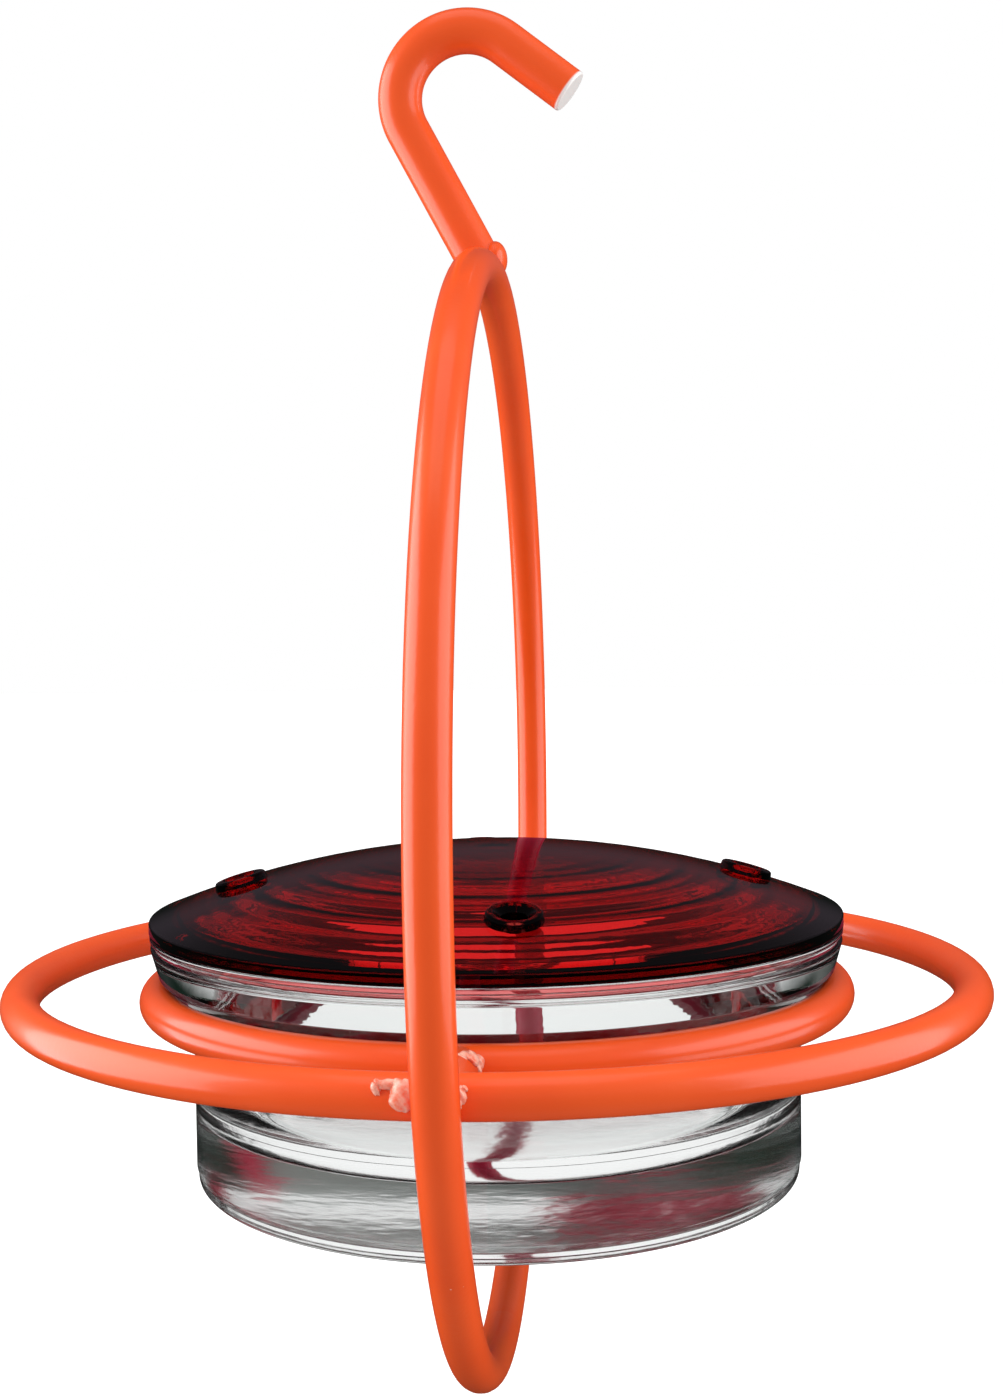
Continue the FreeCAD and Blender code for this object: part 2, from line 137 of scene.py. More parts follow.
def objectPlace(tree, at):
    return newNode(tree, "ShaderNodeTexCoord", at).outputs["Object"]


# effects that several materials share, each a node group

def newGroup(name, inputs, outputs):
    # plain numbers go in, with these defaults, and come out; also gives the place on the piece
    group = bpy.data.node_groups.new(name, "ShaderNodeTree")
    for socketName, value in inputs.items():
        socket = group.interface.new_socket(socketName, in_out="INPUT", socket_type="NodeSocketFloat")
        socket.default_value = value
    for socketName in outputs:
        group.interface.new_socket(socketName, in_out="OUTPUT", socket_type="NodeSocketFloat")
    take = newNode(group, "NodeGroupInput", (-1200, 0))
    give = newNode(group, "NodeGroupOutput", (700, 0))
    return group, take, give, objectPlace(group, (-1200, 300))


def makeFineGrain():
    # two sizes of soft noise: a height for a bump, and a value that drifts about 0.5 for colour and gloss
    defaults = {"Pebble Scale": 900.0, "Ripple Scale": 60.0, "Ripple Share": 0.5}
    group, take, give, place = newGroup("fineGrain", defaults, ("Height", "Drift"))
    pebble = newNoise(group, (-600, 200), place, {"Detail": 2.0})
    ripple = newNoise(group, (-600, -150), place, {"Detail": 3.0})
    connect(group, take.outputs["Pebble Scale"], pebble.inputs["Scale"])
    connect(group, take.outputs["Ripple Scale"], ripple.inputs["Scale"])
    blend = newNode(group, "ShaderNodeMix", (-200, 100))
    connect(group, take.outputs["Ripple Share"], blend.inputs["Factor"])
    connect(group, pebble.outputs["Fac"], blend.inputs[2])
    connect(group, ripple.outputs["Fac"], blend.inputs[3])
    connect(group, blend.outputs[0], give.inputs["Height"])
    connect(group, ripple.outputs["Fac"], give.inputs["Drift"])
    return group


def makeScatteredMarks():
    # a mask of small scattered marks, such as chips: where noise that is broken up finely is above a level
    defaults = {"Scale": 200.0, "Level": 0.7, "Softness": 0.03}
    group, take, give, place = newGroup("scatteredMarks", defaults, ("Mask",))
    noise = newNoise(group, (-600, 100), place, {"Detail": 5.0, "Roughness": 0.65})
    connect(group, take.outputs["Scale"], noise.inputs["Scale"])
    above = newNode(group, "ShaderNodeMath", (-350, 100), operation="SUBTRACT")
    connect(group, noise.outputs["Fac"], above.inputs[0])
    connect(group, take.outputs["Level"], above.inputs[1])
    sharpened = newNode(group, "ShaderNodeMath", (-100, 100), operation="DIVIDE", use_clamp=True)
    connect(group, above.outputs[0], sharpened.inputs[0])
    connect(group, take.outputs["Softness"], sharpened.inputs[1])
    connect(group, sharpened.outputs[0], give.inputs["Mask"])
    return group


def makeFlowRings():
    # rings round the feeder's axis, as pressed glass keeps them: noise of the distance from the axis, which
    # wanders a little from place to place; the plain distance comes out too
    defaults = {"Scale": 400.0, "Wobble": 0.3 * millimetre}
    group, take, give, place = newGroup("flowRings", defaults, ("Height", "Distance"))
    centred = newNode(group, "ShaderNodeMapping", (-1000, 300))
    centred.inputs["Location"].default_value = (-feederAxisX, 0, 0)
    centred.inputs["Scale"].default_value = (1, 1, 0)   # flat, so that height doesn't count
    connect(group, place, centred.inputs["Vector"])
    distance = newNode(group, "ShaderNodeVectorMath", (-800, 300), operation="LENGTH")
    connect(group, centred.outputs[0], distance.inputs[0])
    wander = newNoise(group, (-800, 50), place, {"Scale": 55.0})
    moved = newNode(group, "ShaderNodeMath", (-550, 200), operation="MULTIPLY_ADD")
    connect(group, wander.outputs["Fac"], moved.inputs[0])
    connect(group, take.outputs["Wobble"], moved.inputs[1])
    connect(group, distance.outputs["Value"], moved.inputs[2])
    rings = newNode(group, "ShaderNodeTexNoise", (-300, 200), noise_dimensions="1D")
    rings.inputs["Detail"].default_value = 1.0
    connect(group, moved.outputs[0], rings.inputs["W"])
    connect(group, take.outputs["Scale"], rings.inputs["Scale"])
    connect(group, rings.outputs["Fac"], give.inputs["Height"])
    connect(group, distance.outputs["Value"], give.inputs["Distance"])
    return group


fineGrain = makeFineGrain()
scatteredMarks = makeScatteredMarks()
flowRings = makeFlowRings()


# helpers for materials and pieces

def newMaterial(name):
    material = bpy.data.materials.new(name)
    material.use_nodes = True
    tree = material.node_tree
    tree.nodes.clear()
    shader = newNode(tree, "ShaderNodeBsdfPrincipled", (600, 0))
    output = newNode(tree, "ShaderNodeOutputMaterial", (950, 0))
    connect(tree, shader.outputs[0], output.inputs["Surface"])
    return material, tree, shader


def placeGroup(tree, group, at, settings):
    node = newNode(tree, "ShaderNodeGroup", at, node_tree=group)
    for name, value in settings.items():
        node.inputs[name].default_value = value
    return node


def addBump(tree, shader, height, depth):
    bump = newNode(tree, "ShaderNodeBump", (300, -350))
    bump.inputs["Distance"].default_value = depth
    connect(tree, height, bump.inputs["Height"])
    connect(tree, bump.outputs[0], shader.inputs["Normal"])


def assign(piece, material):
    for slot in piece.material_slots:
        slot.material = material
    if not piece.material_slots:
        piece.data.materials.append(material)


def ringFaces(rows, around, turned=False):
    # faces of a closed grid of rings, row after row, whose two end points follow its own points: four corners
    # between neighbouring rings, and a fan of triangles at each end
    here = np.arange(around)
    beside = (here + 1) % around
    row = np.arange(rows - 1)[:, None] * around
    ahead = row + around
    quads = np.stack((row + here, row + beside, ahead + beside, ahead + here), -1).reshape(-1, 4)
    last = (rows - 1) * around
    first = np.stack((np.full(around, rows * around), beside, here), -1)
    final = np.stack((np.full(around, rows * around + 1), last + here, last + beside), -1)
    fans = np.concatenate((first, final))
    if turned:   # the corners of each face the other way round
        quads, fans = quads[:, [0, 3, 2, 1]], fans[:, [0, 2, 1]]
    return quads.tolist() + fans.tolist()


def newPiece(name, points, faces, material):
    mesh = bpy.data.meshes.new(name)
    mesh.from_pydata(points, [], faces)
    mesh.polygons.foreach_set("use_smooth", np.ones(len(mesh.polygons), bool))
    mesh.materials.append(material)
    mesh.update()
    piece = bpy.data.objects.new(name, mesh)
    bpy.context.scene.collection.objects.link(piece)
    return piece


# the frame's paint

paint = {
    "orange": (1.0, 0.118, 0.012),
    "deepOrange": (0.92, 0.078, 0.006),
    "gloss": (0.28, 0.35),            # roughness, which drifts between these
    "coat": 0.34,
    "coatGloss": 0.14,
    "shine": 0.5,                     # specular level
    "peelDepth": 0.030 * millimetre,
    "peel": {"Pebble Scale": 1100.0, "Ripple Scale": 55.0, "Ripple Share": 0.35},
    "chips": {"Scale": 230.0, "Level": 0.74, "Softness": 0.02},
    "chipColour": (0.98, 0.62, 0.50),
    # painted reflection: in rays that glass bends or mirrors, the paint shows this dark crimson
    "paintedReflection": (0.27, 0.012, 0.035),   # the paint as glass shows or mirrors it
    "throughShine": 0.1,
}
# the hook's cut end face, near white: partly bare metal, partly a painted highlight of glare
bareEndAndGlare = {
    "colour": (0.96, 0.94, 0.92),
    "slope": math.radians(38),        # the hook's tip slopes down by this
    "edge": (0.75 * millimetre, 0.30 * millimetre),   # the paint fades out from the first to the second
    "reach": (8.8 * millimetre, 8.0 * millimetre),    # and all of it stays on farther from the tip than this
}
weldToneAndHighlight = {
    # paler patches on the weld marks: partly their own tone, partly painted highlight
    "pale": (0.97, 0.50, 0.38),
    "patches": {"Scale": 700.0, "Level": 0.28, "Softness": 0.30},
    "peelTimes": 1.5,
}


def paintBareEndAndGlare(tree, colour):
    # near white past a plane across the rod just short of its tip, and near that tip only: partly bare cut
    # metal, partly a painted highlight of glare on the end face
    along = np.array((math.cos(bareEndAndGlare["slope"]), 0, -math.sin(bareEndAndGlare["slope"])))
    tip = findHookTip(along)
    edge = float(np.dot(tip, along))
    place = objectPlace(tree, (-900, 700))
    reach = newNode(tree, "ShaderNodeVectorMath", (-650, 600), operation="DOT_PRODUCT")
    connect(tree, place, reach.inputs[0])
    reach.inputs[1].default_value = along
    start, stop = (edge - depth for depth in bareEndAndGlare["edge"])
    beyond = rampBetween(tree, reach.outputs["Value"], start, stop, (-400, 600))
    distance = newNode(tree, "ShaderNodeVectorMath", (-650, 800), operation="DISTANCE")
    connect(tree, place, distance.inputs[0])
    distance.inputs[1].default_value = tip
    near = rampBetween(tree, distance.outputs["Value"], *bareEndAndGlare["reach"], (-400, 800))
    return mixColours(tree, multiply(tree, beyond, near, (-150, 700)), colour, bareEndAndGlare["colour"], (400, 300))


def findHookTip(along):
    # the hook's farthest point along its tip, of those above mid height, which leaves its foot out
    mesh = nodes["hook"].data
    points = np.empty(len(mesh.vertices) * 3)
    mesh.vertices.foreach_get("co", points)
    points = points.reshape(-1, 3)
    points = points[points[:, 2] > (points[:, 2].min() + points[:, 2].max()) / 2]
    return points[np.argmax(points @ along)]


def makePaint(name):
    # powder coat: orange that drifts a little, peel, and fine chips; the weld marks are paler in patches,
    # partly their own tone, partly painted highlight
    material, tree, shader = newMaterial(name)
    grain = placeGroup(tree, fineGrain, (-600, 0), paint["peel"])
    drift = grain.outputs["Drift"]
    chips = placeGroup(tree, scatteredMarks, (-600, -300), paint["chips"])
    colour = mixColours(tree, drift, paint["deepOrange"], paint["orange"], (-250, 200))
    colour = mixColours(tree, chips.outputs["Mask"], colour, paint["chipColour"], (0, 150))
    peelDepth = paint["peelDepth"]
    if name == "weldPaint":
        # paler patches on the weld marks: partly their own tone, partly painted highlight
        patches = placeGroup(tree, scatteredMarks, (-600, -600), weldToneAndHighlight["patches"])
        colour = mixColours(tree, patches.outputs["Mask"], colour, weldToneAndHighlight["pale"], (200, 150))
        peelDepth *= weldToneAndHighlight["peelTimes"]
    inGlass = newNode(tree, "ShaderNodeLightPath", (200, 500)).outputs["Is Glossy Ray"]   # bent rays too
    # the hook's end face near white: partly bare metal, partly painted highlight
    if name == "hookPaint":
        colour = paintBareEndAndGlare(tree, colour)
    else:
        # painted reflection: dark crimson where the paint is seen through glass or mirrored
        colour = mixColours(tree, inGlass, colour, paint["paintedReflection"], (400, 300))
    connect(tree, colour, shader.inputs["Base Color"])
    connect(tree, valueRange(tree, drift, *paint["gloss"], (0, -100)), shader.inputs["Roughness"])
    connect(tree, valueRange(tree, inGlass, paint["coat"], 0.0, (200, -150)), shader.inputs["Coat Weight"])
    shine = valueRange(tree, inGlass, paint["shine"], paint["throughShine"], (200, -350))
    connect(tree, shine, shader.inputs["Specular IOR Level"])
    shader.inputs["Coat Roughness"].default_value = paint["coatGloss"]
    addBump(tree, shader, grain.outputs["Height"], peelDepth)
    return material


# lumps of weld metal, in millimetres: centre, and half width, half depth and half height
weldMarks = {
    "hoopWeldFront": {
        "replaces": "hoop_weld_front",
        "lumps": [
            ((-1.1, -83.0, -156.6), (1.9, 1.5, 2.1)),
            ((-3.2, -82.2, -155.5), (2.0, 0.9, 0.7)),
            ((-4.8, -82.4, -155.9), (0.7, 0.7, 1.1)),
            ((5.5, -83.1, -156.9), (1.4, 1.0, 1.5)),
            ((6.5, -82.6, -155.9), (0.6, 0.7, 0.5)),
        ],
    },
    "ringWeldFront": {
        "replaces": "ring_weld_front",
        "lumps": [
            ((5.2, -63.3, -156.9), (1.4, 2.6, 1.3)),
            ((4.4, -64.5, -156.3), (1.1, 1.6, 0.8)),
            ((5.9, -61.6, -158.0), (1.2, 1.2, 1.4)),
            ((0.6, -60.8, -158.7), (1.4, 1.3, 1.6)),
        ],
    },
}
lump = {
    "swells": ((0.10, (3.1, 2.3, 4.0)), (0.06, (7.0, 5.5, 6.1)), (0.03, (15.0, 13.0, 17.0))),   # share, waves
    "phaseStep": 1.7,                 # from one lump of a mark to the next
    "rows": 36,
    "around": 48,
}


def lumpPoints(centre, radii, phase):
    # a lumpy ball: along each direction n its reach is 1 plus a few sines of n, and the radii stretch it
    tilt = np.linspace(0, math.pi, lump["rows"] + 2)[1:-1, None]
    turn = np.linspace(0, 2 * math.pi, lump["around"], endpoint=False)
    sphere = np.stack((np.sin(tilt) * np.cos(turn), np.sin(tilt) * np.sin(turn),
                       np.cos(tilt) + 0 * turn), -1).reshape(-1, 3)
    directions = np.concatenate((sphere, ((0, 0, 1), (0, 0, -1))))
    reach = 1 + sum(share * np.sin(directions @ np.array(waves) + phase) for share, waves in lump["swells"])
    return (np.array(centre) + np.array(radii) * directions * reach[:, None]) * millimetre


def makeWeldMark(name, mark, material):
    lumps = [lumpPoints(*place, number * lump["phaseStep"]) for number, place in enumerate(mark["lumps"])]
    oneLump = ringFaces(lump["rows"], lump["around"], turned=True)
    faces = [[start + corner for corner in face]
             for start in range(0, len(lumps) * len(lumps[0]), len(lumps[0])) for face in oneLump]
    piece = newPiece(name, np.concatenate(lumps), faces, material)
    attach(piece, "root")
    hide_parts(mark["replaces"])
    return piece


def dressFrame():
    rodPaint, hookPaint, weldPaint = (makePaint(name) for name in ("rodPaint", "hookPaint", "weldPaint"))
    for name in rodNodes:
        assign(nodes[name], hookPaint if name == "hook" else rodPaint)
    marks = [makeWeldMark(name, mark, weldPaint) for name, mark in weldMarks.items()]
    print("frame painted,", len(marks), "weld marks")
    return marks


# glass of the dish and the lid

glass = {
    "clear": (0.975, 0.99, 0.985),
    "dimmest": 0.98,                  # share of its colour that the glass keeps where it is dimmest
    "index": 1.5,
    "ripples": {"Pebble Scale": 320.0, "Ripple Scale": 42.0, "Ripple Share": 0.8},
    "rippleDepth": 0.05 * millimetre,
    "roughness": (0.0, 0.03),
}
underside = {                         # rougher and wavier, as the mould left it
    "rise": (1.5 * millimetre, 1.3 * millimetre),   # it ends between these levels over the dish's base
    "waves": {"Scale": 160.0, "Detail": 2.0},
    "waveShare": 4.0,                 # their height, in ripple depths
    "roughness": 0.14,
}
redGlass = {
    "red": (1.0, 0.96, 0.96),
    # painted shade: the thick rim's side near black, for the dark of the long path through the glass
    "edge": (0.02, 0.01, 0.014),      # the thick rim, seen from the side
    "rimShadeFrom": (58.6 * millimetre, 58.9 * millimetre),   # distance from the axis
    "boss": (0.20, 0.12, 0.08),       # the ports' raised rings
    "bossRise": (0.25 * millimetre, 0.6 * millimetre),   # over the dome
    "lets": (0.95, 0.14, 0.14),       # what it lets through
    "density": 1100.0,                # to the metre
    "domeSphere": 162.9 * millimetre,     # radius of the dome's outer face
    "innerFace": (1.25 * millimetre, 2.25 * millimetre),   # the rings fade in between these depths in its wall
    "rings": {"Scale": 180.0, "Wobble": 0.8 * millimetre},
    "ringsFrom": (14 * millimetre, 36 * millimetre),   # and between these distances from the axis
    "ringShare": 6.5,                 # their height, in ripple depths
}


def makeGlass(name, colour):
    # glass with faint ripples; also gives the colour, the height and the blur, for other effects to add to
    material, tree, shader = newMaterial(name)
    grain = placeGroup(tree, fineGrain, (-900, 0), glass["ripples"])
    dimmed = tuple(glass["dimmest"] * part for part in colour)
    tinted = mixColours(tree, grain.outputs["Drift"], dimmed, colour, (-200, 200))
    blur = valueRange(tree, grain.outputs["Drift"], *glass["roughness"], (0, -100))
    connect(tree, tinted, shader.inputs["Base Color"])
    connect(tree, blur, shader.inputs["Roughness"])
    shader.inputs["Transmission Weight"].default_value = 1.0
    shader.inputs["IOR"].default_value = glass["index"]
    return material, tree, shader, {"colour": tinted, "height": grain.outputs["Height"], "blur": blur}


def makeClearGlass():
    # the dish's glass, with waves and more blur near the base
    material, tree, shader, plain = makeGlass("clearGlass", glass["clear"])
    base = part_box("dish")[0].z
    place = objectPlace(tree, (-1200, -600))
    parts = newNode(tree, "ShaderNodeSeparateXYZ", (-1000, -600))
    connect(tree, place, parts.inputs[0])
    start, stop = (base + rise for rise in underside["rise"])
    below = rampBetween(tree, parts.outputs["Z"], start, stop, (-800, -600))
    waves = newNoise(tree, (-800, -900), place, underside["waves"])
    waves = multiply(tree, below, waves.outputs["Fac"], (-500, -600))
    height = addShare(tree, waves, underside["waveShare"], plain["height"], (-300, -600))
    blur = addShare(tree, below, underside["roughness"], plain["blur"], (-300, -300))
    connect(tree, blur, shader.inputs["Roughness"])
    addBump(tree, shader, height, glass["rippleDepth"])
    return material


def makeRedGlass():
    # flow rings on the inner face of the dome, a rim painted near black as shade, and darker ports; it soaks
    # up light by depth
    material, tree, shader, plain = makeGlass("redGlass", redGlass["red"])
    sphere = redGlass["domeSphere"]
    reach = newNode(tree, "ShaderNodeVectorMath", (-1000, -600), operation="DISTANCE")
    connect(tree, objectPlace(tree, (-1200, -600)), reach.inputs[0])
    reach.inputs[1].default_value = (feederAxisX, 0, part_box("lid")[1].z - sphere)   # the dome's centre
    start, stop = (sphere - depth for depth in redGlass["innerFace"])
    inner = rampBetween(tree, reach.outputs["Value"], start, stop, (-800, -600))
    flow = placeGroup(tree, flowRings, (-900, -300), redGlass["rings"])
    outward = rampBetween(tree, flow.outputs["Distance"], *redGlass["ringsFrom"], (-650, -500))
    ringed = multiply(tree, inner, outward, (-450, -600))
    rings = multiply(tree, ringed, flow.outputs["Height"], (-300, -400))
    height = addShare(tree, rings, redGlass["ringShare"], plain["height"], (-100, -400))
    addBump(tree, shader, height, glass["rippleDepth"])
    start, stop = (sphere + rise for rise in redGlass["bossRise"])
    raised = rampBetween(tree, reach.outputs["Value"], start, stop, (-800, -800))
    # painted shade: near black on the rim's side
    rim = rampBetween(tree, flow.outputs["Distance"], *redGlass["rimShadeFrom"], (-200, -200))
    colour = mixColours(tree, raised, plain["colour"], redGlass["boss"], (0, 300))
    colour = mixColours(tree, rim, colour, redGlass["edge"], (200, 200))
    connect(tree, colour, shader.inputs["Base Color"])
    soak = newNode(tree, "ShaderNodeVolumeAbsorption", (600, -500))
    soak.inputs["Color"].default_value = (*redGlass["lets"], 1.0)
    soak.inputs["Density"].default_value = redGlass["density"]
    connect(tree, soak.outputs[0], tree.get_output_node("ALL").inputs["Volume"])
    return material


dish = {                              # in millimetres
    "mouthRadius": 55.0, "bowlRadius": 48.0, "floorRadius": 47.0, "floorRise": 9.9, "floorRound": 10.0,
    "ledgeDepth": 3.0, "ledgeRound": 0.6,
    "flangeRadius": 59.0, "rimBand": 1.0, "grooveWidth": 0.9, "grooveDepth": 0.6, "grooveRound": 0.15,
    "bandFootInset": 1.4, "bandFootDrop": 6.91, "bandFootRound": 0.7, "seatRound": 1.2,
    "bodyRadius": 51.9, "footHeight": 3.0, "footInset": 0.3, "footRound": 0.1,
    "baseRound": 1.6, "baseRim": 6.0, "baseRimRound": 0.5, "baseRecess": 1.0, "recessRound": 0.3,
    "softEdge": 0.35,
    "sealGap": 0.06,                  # between rim and lid, whose faces can't be rendered in one place
    "arcSteps": 8, "around": 256,
}


def roundedProfile(corners):
    # corners are (radius, level, rounding), and each rounding is an arc of that radius, tangent to both sides
    spots = np.array([corner[:2] for corner in corners], float)
    points = [spots[:1]]
    for number in range(1, len(corners) - 1):
        here, rounding = spots[number], corners[number][2]
        back, ahead = spots[number - 1] - here, spots[number + 1] - here
        back /= np.linalg.norm(back)
        ahead /= np.linalg.norm(ahead)
        half = math.acos(np.clip(back @ ahead, -1, 1)) / 2
        reach = rounding / math.tan(half)
        middle = here + (back + ahead) / np.linalg.norm(back + ahead) * rounding / math.sin(half)
        start, stop = here + back * reach - middle, here + ahead * reach - middle
        turn = math.atan2(start[0] * stop[1] - start[1] * stop[0], start @ stop)
        angles = np.linspace(0, turn, dish["arcSteps"] + 1)[:, None]
        across = np.array((-start[1], start[0]))
        points.append(middle + start * np.cos(angles) + across * np.sin(angles))
    points.append(spots[-1:])
    return np.concatenate(points)


def lathePoints(profile, around):
    # every point (r, z) of the profile is carried round the feeder's axis: x = r cos a, y = r sin a, with one
    # point where the profile starts and one where it ends, both on the axis
    angles = np.linspace(0, 2 * math.pi, around, endpoint=False)
    rings = profile[1:-1]
    grid = np.stack((rings[:, :1] * np.cos(angles), rings[:, :1] * np.sin(angles),
                     np.repeat(rings[:, 1:], around, 1)), -1).reshape(-1, 3)
    points = np.concatenate((grid, ((0, 0, profile[0, 1]), (0, 0, profile[-1, 1]))))
    points[:, 0] += feederAxisX
    return points


def makeDish(material):
    base, top = (corner.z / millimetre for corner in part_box("dish"))
    rim = top - dish["sealGap"]
    flange, body, soft = dish["flangeRadius"], dish["bodyRadius"], dish["softEdge"]
    grooveTop = rim - dish["rimBand"]
    grooveFoot = grooveTop - dish["grooveWidth"]
    grooveFloor = flange - dish["grooveDepth"]
    bandFoot = flange - dish["bandFootInset"]
    bandLevel = top - dish["bandFootDrop"]
    footRadius = body - dish["footInset"]
    footTop = base + dish["footHeight"]
    recess = base + dish["baseRecess"]
    floor = base + dish["floorRise"]
    ledge = rim - dish["ledgeDepth"]
    corners = [   # from the middle of the floor over the rim to the middle of the base
        (0, floor, 0),
        (dish["floorRadius"], floor, dish["floorRound"]),
        (dish["bowlRadius"], ledge, dish["ledgeRound"]),
        (dish["mouthRadius"], ledge, dish["ledgeRound"]),
        (dish["mouthRadius"], rim, soft),
        (flange, rim, soft),
        (flange, grooveTop, soft),
        (grooveFloor, grooveTop, dish["grooveRound"]),
        (grooveFloor, grooveFoot, dish["grooveRound"]),
        (flange, grooveFoot, soft),
        (bandFoot, bandLevel, dish["bandFootRound"]),
        (body, bandLevel - (bandFoot - body), dish["seatRound"]),
        (body, footTop, soft),
        (footRadius, footTop, dish["footRound"]),
        (footRadius, base, dish["baseRound"]),
        (footRadius - dish["baseRim"], base, dish["baseRimRound"]),
        (footRadius - dish["baseRim"], recess, dish["recessRound"]),
        (0, recess, 0),
    ]
    profile = roundedProfile(corners)[::-1] * millimetre
    faces = ringFaces(len(profile) - 2, dish["around"])
    piece = newPiece("dishGlass", lathePoints(profile, dish["around"]), faces, material)
    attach(piece, "root")
    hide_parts("dish")
    print("dish turned")


# floor, light and camera

paper = {
    "floorDrop": 0.12,                # below the feeder
    "floorSize": 12.0,
    "floorColour": (0.97, 0.97, 0.97),
    "floorGlow": 0.45,
    "floorRoughness": 0.9,
    "floorShine": 0.1,
    "white": (1.0, 1.0, 1.0),         # what the camera sees behind the feeder
}
# pairs in the next three tables are sines: the height of a direction, or how far it points right or back
softLight = {                         # on the paint, from above and from below
    "sky": (1.15, 1.15, 1.15),
    "ground": (0.84, 0.84, 0.84),
    "groundToSky": (-0.6, 0.5),
    "frontShade": 0.45,               # how much of it is held back where the photographer stands
    "frontSines": (0.1, -0.9),
}
room = {                              # what the glass and the paint mirror
    "low": (0.012, 0.014, 0.013),
    "far": (0.085, 0.07, 0.085),
    "high": (0.05, 0.045, 0.05),
    "lowToFar": (0.0, 0.25),
    "farToHigh": (0.3, 0.6),
}
greenery = {                          # what rays bent by the glass see over the horizon
    "left": (0.045, 0.06, 0.055),
    "right": (0.18, 0.19, 0.18),
    "leftToRight": (-0.35, 0.30),
    "sides": (0.008, 0.021, 0.014),
    "sidesFrom": (0.36, 0.58),
    "horizon": (-0.12, 0.10),
}
softBoxes = {   # place, point aimed at, width and height in metres, power in watts
    "leftPanel": ((-0.9, -0.05, 0.0), (0, 0, -0.1), (1.1, 1.2), 12.5),
    "rightPanel": ((0.9, -0.05, 0.0), (0, 0, -0.1), (1.1, 1.2), 7.5),
    "topPanel": ((0.0, -0.1, 0.9), (0, 0, -0.1), (0.8, 0.8), 1.2),
}
cameraView = {
    "place": (0.03212, -0.31022, -0.09599),
    "yaw": -0.0879,
    "pitch": 0.0443,
    "roll": -0.0133,
    "lens": 46.6,
    "sensorWidth": 36,
    "clipStart": 0.01,
}


def makeFloor():
    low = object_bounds()[0].z - paper["floorDrop"]
    half = paper["floorSize"] / 2
    corners = [(-half, -half, low), (half, -half, low), (half, half, low), (-half, half, low)]
    mesh = bpy.data.meshes.new("studioFloor")
    mesh.from_pydata(corners, [], [(0, 1, 2, 3)])
    floor = bpy.data.objects.new("studioFloor", mesh)
    bpy.context.scene.collection.objects.link(floor)
    material, _, shader = newMaterial("palePaper")
    shader.inputs["Base Color"].default_value = (*paper["floorColour"], 1)
    shader.inputs["Roughness"].default_value = paper["floorRoughness"]
    shader.inputs["Specular IOR Level"].default_value = paper["floorShine"]
    shader.inputs["Emission Color"].default_value = (*paper["floorColour"], 1)
    shader.inputs["Emission Strength"].default_value = paper["floorGlow"]
    mesh.materials.append(material)
    floor.visible_diffuse = False
    floor.visible_glossy = False
    floor.visible_transmission = False


def lightOnPaint(tree, direction):
    rise = rampBetween(tree, direction["Z"], *softLight["groundToSky"], (-600, 300))
    light = mixColours(tree, rise, softLight["ground"], softLight["sky"], (-300, 300))
    front = rampBetween(tree, direction["Y"], *softLight["frontSines"], (-600, 600), softLight["frontShade"])
    return mixColours(tree, front, light, (0.0, 0.0, 0.0), (-50, 500))


def mirroredRoom(tree, direction):
    far = rampBetween(tree, direction["Z"], *room["lowToFar"], (-600, 100))
    high = rampBetween(tree, direction["Z"], *room["farToHigh"], (-600, -100))
    lower = mixColours(tree, far, room["low"], room["far"], (-300, 100))
    return mixColours(tree, high, lower, room["high"], (-100, 0))


def seenThroughGlass(tree, direction):
    right = rampBetween(tree, direction["X"], *greenery["leftToRight"], (-600, -300))
    hedge = mixColours(tree, right, greenery["left"], greenery["right"], (-150, -300))
    sideways = newNode(tree, "ShaderNodeMath", (-900, -500), operation="ABSOLUTE")
    connect(tree, direction["X"], sideways.inputs[0])
    beside = rampBetween(tree, sideways.outputs[0], *greenery["sidesFrom"], (-600, -500))
    hedge = mixColours(tree, beside, hedge, greenery["sides"], (50, -400))
    above = rampBetween(tree, direction["Z"], *greenery["horizon"], (-600, -700))
    return mixColours(tree, above, paper["white"], hedge, (250, -300))


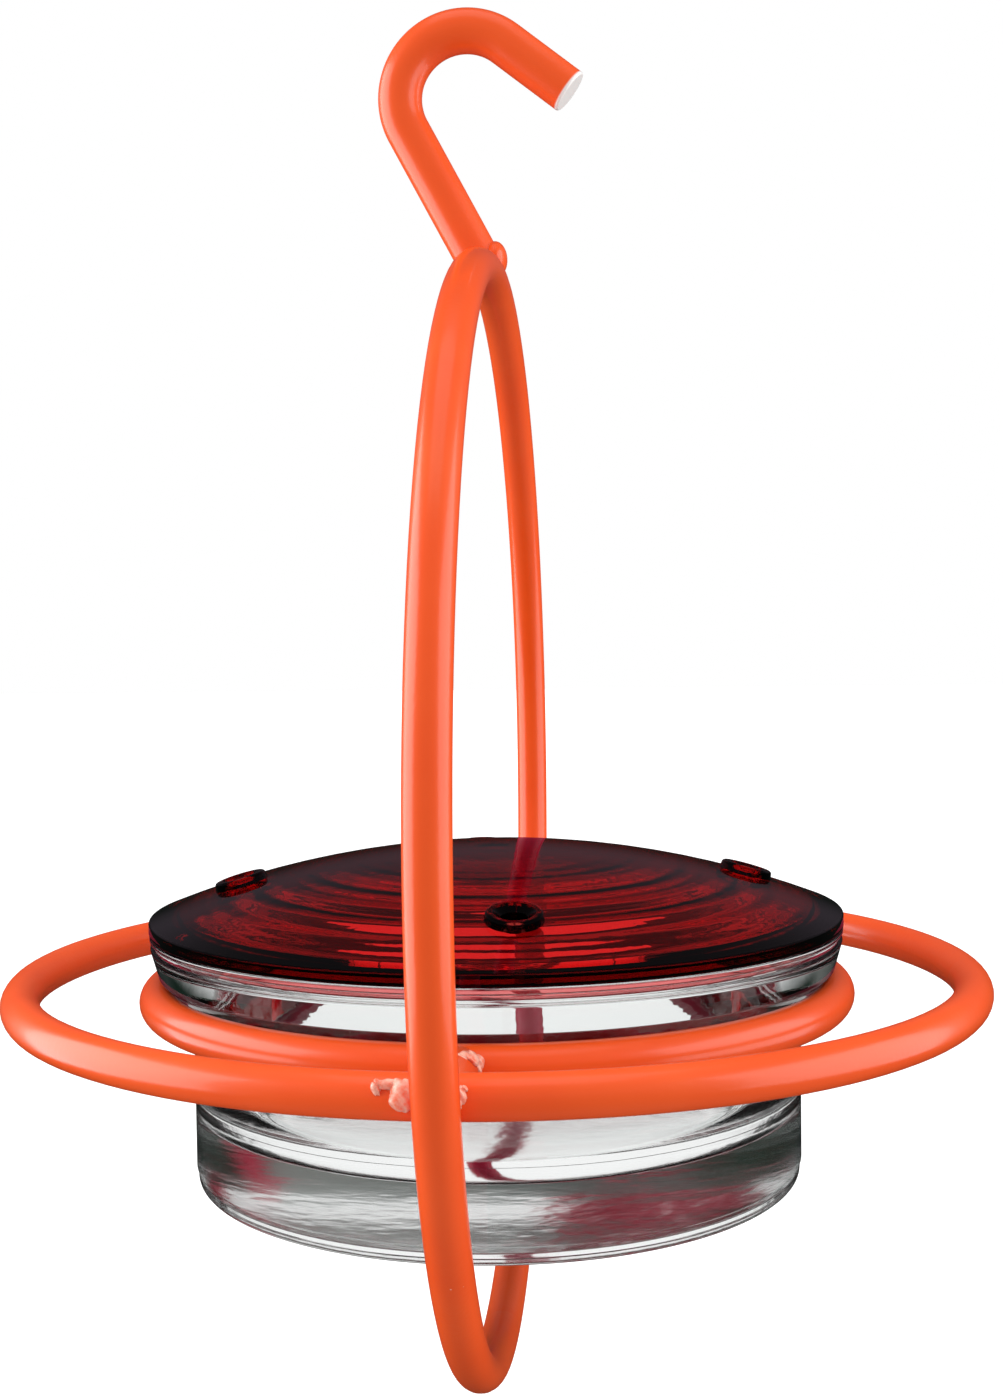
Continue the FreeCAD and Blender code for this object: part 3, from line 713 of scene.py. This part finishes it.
def makeWorld():
    # one surround in four parts: white paper for the camera, a dim room for mirrored rays, soft light for the
    # paint, and for rays that leave the glass white paper below and greenery above the horizon
    world = bpy.data.worlds.new("studio")
    bpy.context.scene.world = world
    world.use_nodes = True
    world.cycles.sampling_method = "NONE"
    tree = world.node_tree
    tree.nodes.clear()
    outwards = newNode(tree, "ShaderNodeTexCoord", (-1400, 0)).outputs["Generated"]
    parts = newNode(tree, "ShaderNodeSeparateXYZ", (-1200, 0))
    connect(tree, outwards, parts.inputs[0])
    direction = parts.outputs
    rays = newNode(tree, "ShaderNodeLightPath", (-200, 500)).outputs
    seen = mixColours(tree, rays["Is Diffuse Ray"], paper["white"], lightOnPaint(tree, direction), (400, 300))
    seen = mixColours(tree, rays["Is Glossy Ray"], seen, mirroredRoom(tree, direction), (650, 200))
    bent = seenThroughGlass(tree, direction)   # such rays count as glossy too, so they come last
    seen = mixColours(tree, rays["Is Transmission Ray"], seen, bent, (900, 100))
    background = newNode(tree, "ShaderNodeBackground", (1250, 0))
    output = newNode(tree, "ShaderNodeOutputWorld", (1500, 0))
    connect(tree, seen, background.inputs["Color"])
    connect(tree, background.outputs[0], output.inputs["Surface"])


def addSoftBox(name, place, aim, size, power, lit):
    # a panel that lights, and is mirrored by, only the things in the collection lit
    light = bpy.data.lights.new(name, "AREA")
    light.shape = "RECTANGLE"
    light.size, light.size_y = size
    light.energy = power
    lamp = bpy.data.objects.new(name, light)
    bpy.context.scene.collection.objects.link(lamp)
    lamp.location = place
    lamp.rotation_euler = (Vector(aim) - Vector(place)).to_track_quat("-Z", "Y").to_euler()
    lamp.visible_camera = False
    lamp.visible_transmission = False
    lamp.light_linking.receiver_collection = lit


def makeCamera():
    yaw, pitch, roll = cameraView["yaw"], cameraView["pitch"], cameraView["roll"]
    forward = Vector((math.sin(yaw) * math.cos(pitch), math.cos(yaw) * math.cos(pitch), -math.sin(pitch)))
    level = Vector((math.cos(yaw), -math.sin(yaw), 0))
    upright = level.cross(forward)
    right = level * math.cos(roll) + upright * math.sin(roll)
    up = upright * math.cos(roll) - level * math.sin(roll)
    data = bpy.data.cameras.new("photoCamera")
    data.lens = cameraView["lens"]
    data.sensor_width = cameraView["sensorWidth"]
    data.clip_start = cameraView["clipStart"]
    camera = bpy.data.objects.new("photoCamera", data)
    bpy.context.scene.collection.objects.link(camera)
    turn = Matrix((right, up, -forward)).transposed().to_4x4()
    camera.matrix_world = Matrix.Translation(cameraView["place"]) @ turn
    bpy.context.scene.camera = camera


bpy.context.scene.view_settings.view_transform = "Standard"
marks = dressFrame()
makeDish(makeClearGlass())
assign(nodes["lid"], makeRedGlass())
print("lid dressed")
makeFloor()
makeWorld()
painted = bpy.data.collections.new("painted")
for piece in [nodes[name] for name in rodNodes] + marks:
    painted.objects.link(piece)
for name, panel in softBoxes.items():
    addSoftBox(name, *panel, painted)
makeCamera()
print("studio set")
